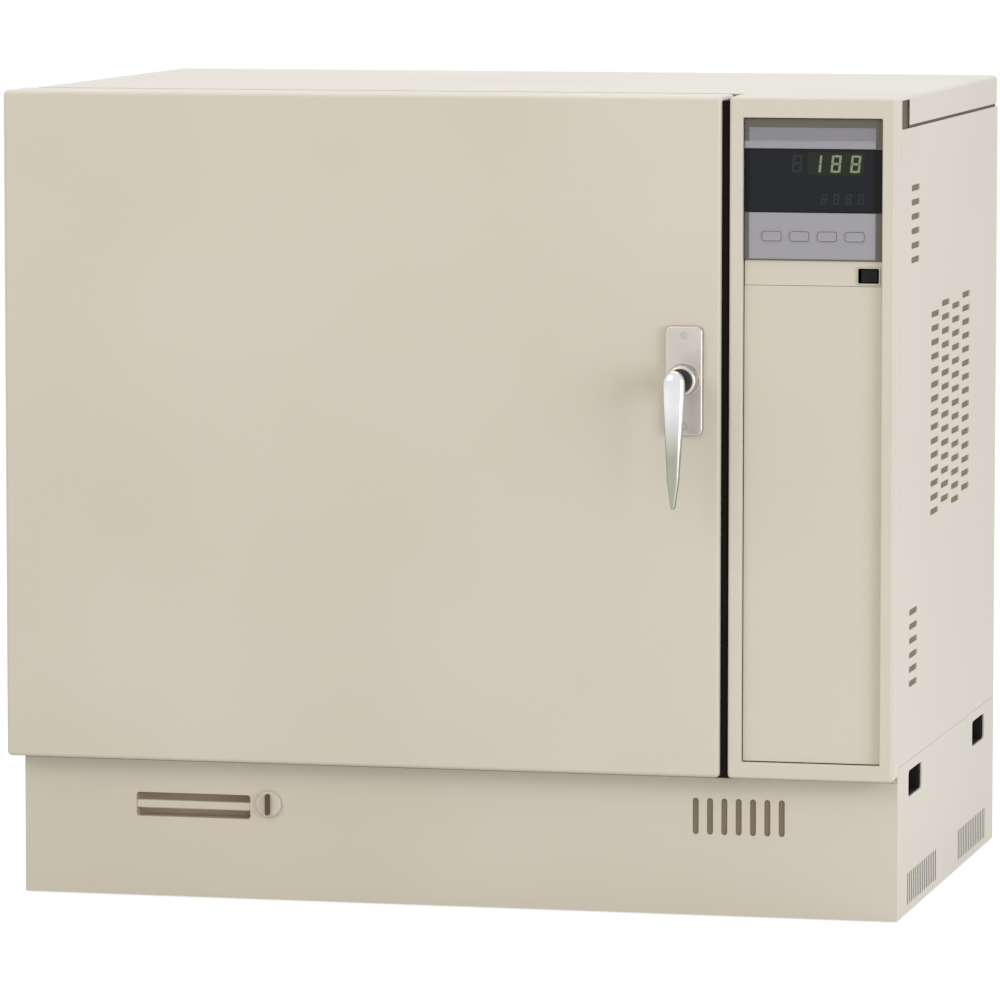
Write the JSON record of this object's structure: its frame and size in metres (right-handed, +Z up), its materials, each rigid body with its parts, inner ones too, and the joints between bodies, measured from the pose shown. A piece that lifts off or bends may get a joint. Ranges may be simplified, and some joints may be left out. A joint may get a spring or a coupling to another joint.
{
  "type": "high-temperature laboratory oven",
  "caption": "Floor or bench oven with a wide side-hinged insulated door, lever handle, vented plinth and side, control column with display, keys and rocker, and a fan-stirred square chamber.",
  "frame": {"origin": "on the floor under the feet, at the middle of the whole oven's footprint with the door shut", "axes": "+Z up, -Y towards the person in front of the door, +X to that person's right, where the control column is"},
  "size_m": [0.899, 0.7014, 0.8],
  "materials": {
    "paint": "semi-gloss powder coat",
    "galvanised": "galvanised",
    "stainless": "brushed",
    "chrome": "polished",
    "black_plastic": "matt",
    "grey_plastic": "fine texture",
    "display": "glossy tinted window",
    "mineral_wool": "fibrous",
    "glass_rope": "braided",
    "cast_aluminium": "as cast",
    "heater_steel": "heat-tinted sheath"
  },
  "bodies": {
    "cabinet": {"base_pan": "galvanised", "foot_front_left": "black_plastic", "foot_front_right": "black_plastic", "foot_rear_left": "black_plastic", "foot_rear_right": "black_plastic", "deck_plate": "galvanised", "plinth_front_cover": "paint", "plinth_pull_cup": "paint", "side_panel_left": "paint", "side_panel_right": "paint", "side_strip_right": "paint", "top_cover": "paint", "back_panel": "paint", "front_frame": "stainless", "column_frame": "paint", "column_seal": "black_plastic", "compartment_wall": "galvanised", "controller_housing": "grey_plastic", "display_window": "display", "switch_plate": "paint", "rocker_housing": "black_plastic", "blank_plate": "paint", "cord_gland": "black_plastic", "carry_grip_front_left": "black_plastic", "carry_grip_rear_left": "black_plastic", "carry_grip_front_right": "black_plastic", "carry_grip_rear_right": "black_plastic", "cabinet_hinge_leaf_upper": "stainless", "cabinet_hinge_leaf_lower": "stainless", "chamber_wrap": "stainless", "chamber_right_wall": "stainless", "chamber_back_wall": "stainless", "air_baffle": "stainless", "insulation_jacket": "mineral_wool", "shelf_rail_left": "stainless", "shelf_rail_right": "stainless", "shelf_lower": "stainless", "shelf_upper": "stainless", "fan_motor": "cast_aluminium", "heater_tube": "heater_steel", "temperature_probe": "stainless", "power_unit": "cast_aluminium"},
    "door": {"door_outer_shell": "paint", "door_inner_panel": "stainless", "door_insulation": "mineral_wool", "door_gasket": "glass_rope", "door_hinge_leaf_upper": "stainless", "door_hinge_leaf_lower": "stainless", "handle_base": "chrome"},
    "lever": {"handle_lever": "chrome", "latch_cam": "cast_aluminium"},
    "fan": {"fan_wheel": "galvanised", "fan_shaft": "stainless"},
    "power_rocker": {"rocker": "black_plastic"},
    "key_1_body": {"key_1": "grey_plastic"},
    "key_2_body": {"key_2": "grey_plastic"},
    "key_3_body": {"key_3": "grey_plastic"},
    "key_4_body": {"key_4": "grey_plastic"},
    "cover_lock": {"plinth_cover_lock": "paint"},
    "damper": {"exhaust_damper": "stainless"}
  },
  "joints": [
    {"name": "door_hinge", "type": "hinge", "parent": "cabinet", "child": "door", "pos_m": [-0.4435, -0.21465, 0.47], "axis": [0, 0, -1], "range_deg": [0, 120]},
    {"name": "lever_turn", "type": "hinge", "parent": "door", "child": "lever", "pos_m": [0.2445, -0.32165, 0.527], "axis": [0, 1, 0], "range_deg": [0, 90]},
    {"name": "fan_spin", "type": "hinge", "parent": "cabinet", "child": "fan", "pos_m": [0.1415, 0.01485, 0.47], "axis": [1, 0, 0], "continuous": true},
    {"name": "rocker_tilt", "type": "hinge", "parent": "cabinet", "child": "power_rocker", "pos_m": [0.4225, -0.27865, 0.6289], "axis": [0, 0, -1], "range_deg": [0, 16]},
    {"name": "key_1_press", "type": "slide", "parent": "cabinet", "child": "key_1_body", "axis": [0, 1, 0], "range_m": [0, 0.0012], "stiffness_N_per_m": 800},
    {"name": "key_2_press", "type": "slide", "parent": "cabinet", "child": "key_2_body", "axis": [0, 1, 0], "range_m": [0, 0.0012], "stiffness_N_per_m": 800},
    {"name": "key_3_press", "type": "slide", "parent": "cabinet", "child": "key_3_body", "axis": [0, 1, 0], "range_m": [0, 0.0012], "stiffness_N_per_m": 800},
    {"name": "key_4_press", "type": "slide", "parent": "cabinet", "child": "key_4_body", "axis": [0, 1, 0], "range_m": [0, 0.0012], "stiffness_N_per_m": 800},
    {"name": "cover_lock_turn", "type": "hinge", "parent": "cabinet", "child": "cover_lock", "pos_m": [-0.1795, -0.26165, 0.096], "axis": [0, -1, 0], "range_deg": [0, 90]},
    {"name": "damper_turn", "type": "hinge", "parent": "cabinet", "child": "damper", "pos_m": [-0.1235, 0.32835, 0.628], "axis": [0, 1, 0], "range_deg": [0, 45]}
  ]
}
